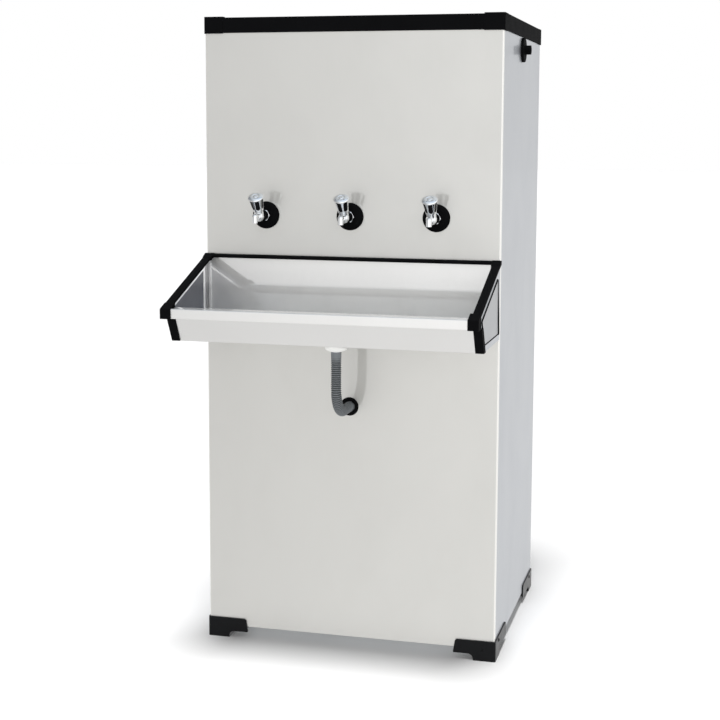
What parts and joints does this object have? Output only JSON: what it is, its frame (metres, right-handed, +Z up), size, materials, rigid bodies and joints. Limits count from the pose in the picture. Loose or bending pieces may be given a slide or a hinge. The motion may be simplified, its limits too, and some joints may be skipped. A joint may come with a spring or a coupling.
{
  "type": "industrial water cooler",
  "caption": "Free-standing stainless cabinet water cooler with front taps over a full-width basin, a ribbed drain hose, black corner feet and a lift-off lid.",
  "frame": {"origin": "on the floor, midway between the front of the basin and the end of the rear drain outlet, on the cabinet's middle plane", "axes": "+Z up, +X to the right as seen from the front, -Y towards the user"},
  "size_m": [0.6989, 0.874, 1.43],
  "materials": {
    "front_steel": "bright annealed stainless sheet",
    "side_steel": "satin stainless sheet",
    "galvanised_sheet": "dull zinc coating",
    "black_trim": "moulded satin black",
    "black_metal": "black enamel",
    "chrome_tap": "polished chrome plate",
    "brass_fitting": "machined",
    "black_rubber": "moulded rubber",
    "grey_hose": "ribbed flexible hose",
    "white_plastic": "moulded white",
    "tank_steel": "plain stainless sheet",
    "insulation_foam": "expanded foam",
    "copper_tube": "drawn copper",
    "condenser_fins": "mill finish",
    "fan_plastic": "moulded black"
  },
  "bodies": {
    "cabinet": {"front_panel": "front_steel", "basin_tray": "front_steel", "left_side_panel": "side_steel", "right_side_panel": "side_steel", "basin_left_end": "side_steel", "basin_right_end": "side_steel", "basin_end_covers": "side_steel", "rear_panel": "galvanised_sheet", "rear_grille": "galvanised_sheet", "base_pan": "galvanised_sheet", "tank_shelf": "galvanised_sheet", "panel_screws": "galvanised_sheet", "basin_studs": "galvanised_sheet", "front_left_foot": "black_trim", "front_right_foot": "black_trim", "rear_left_foot": "black_trim", "rear_right_foot": "black_trim", "cable_gland": "black_trim", "basin_back_rail": "black_trim", "basin_side_rails": "black_trim", "basin_posts": "black_trim", "basin_front_caps": "black_trim", "basin_rear_caps": "black_trim", "tap_rosettes": "black_trim", "inlet_valve": "black_trim", "foot_screws": "black_metal", "compressor": "black_metal", "fan_motor": "black_metal", "left_tap_body": "chrome_tap", "middle_tap_body": "chrome_tap", "right_tap_body": "chrome_tap", "drain_strainer": "chrome_tap", "tap_back_nuts": "brass_fitting", "hose_grommet": "black_rubber", "compressor_mounts": "black_rubber", "drain_hose": "grey_hose", "drain_nut": "white_plastic", "drain_pipe": "white_plastic", "inlet_nut": "white_plastic", "tank_cover": "white_plastic", "water_tank": "tank_steel", "tank_insulation": "insulation_foam", "evaporator_coil": "copper_tube", "filter_drier": "copper_tube", "refrigerant_lines": "copper_tube", "condenser": "condenser_fins"},
    "lid": {"lid_panel": "front_steel", "lid_front_rail": "black_trim", "lid_rear_rail": "black_trim", "lid_side_rails": "black_trim", "lid_corner_caps": "black_trim"},
    "left_handle": {"left_tap_handle": "chrome_tap", "left_tap_spindle": "brass_fitting"},
    "middle_handle": {"middle_tap_handle": "chrome_tap", "middle_tap_spindle": "brass_fitting"},
    "right_handle": {"right_tap_handle": "chrome_tap", "right_tap_spindle": "brass_fitting"},
    "fan": {"fan_blades": "fan_plastic"},
    "float": {"float_arm": "white_plastic"}
  },
  "joints": [
    {"name": "left_tap_turn", "type": "hinge", "parent": "cabinet", "child": "left_handle", "pos_m": [-0.195, -0.207, 0.99], "axis": [0, -0.5299, 0.848], "range_deg": [0, 90]},
    {"name": "middle_tap_turn", "type": "hinge", "parent": "cabinet", "child": "middle_handle", "pos_m": [0, -0.207, 0.99], "axis": [0, -0.5299, 0.848], "range_deg": [0, 90]},
    {"name": "right_tap_turn", "type": "hinge", "parent": "cabinet", "child": "right_handle", "pos_m": [0.195, -0.207, 0.99], "axis": [0, -0.5299, 0.848], "range_deg": [0, 90]},
    {"name": "lid_lift", "type": "slide", "parent": "cabinet", "child": "lid", "axis": [0, 0, 1], "range_m": [0, 0.25]},
    {"name": "fan_spin", "type": "hinge", "parent": "cabinet", "child": "fan", "pos_m": [0.1, 0.283, 0.2135], "axis": [0, 1, 0], "continuous": true},
    {"name": "float_lift", "type": "hinge", "parent": "cabinet", "child": "float", "pos_m": [0.2515, 0.116, 1.365], "axis": [0, 1, 0], "range_deg": [0, 30]}
  ]
}
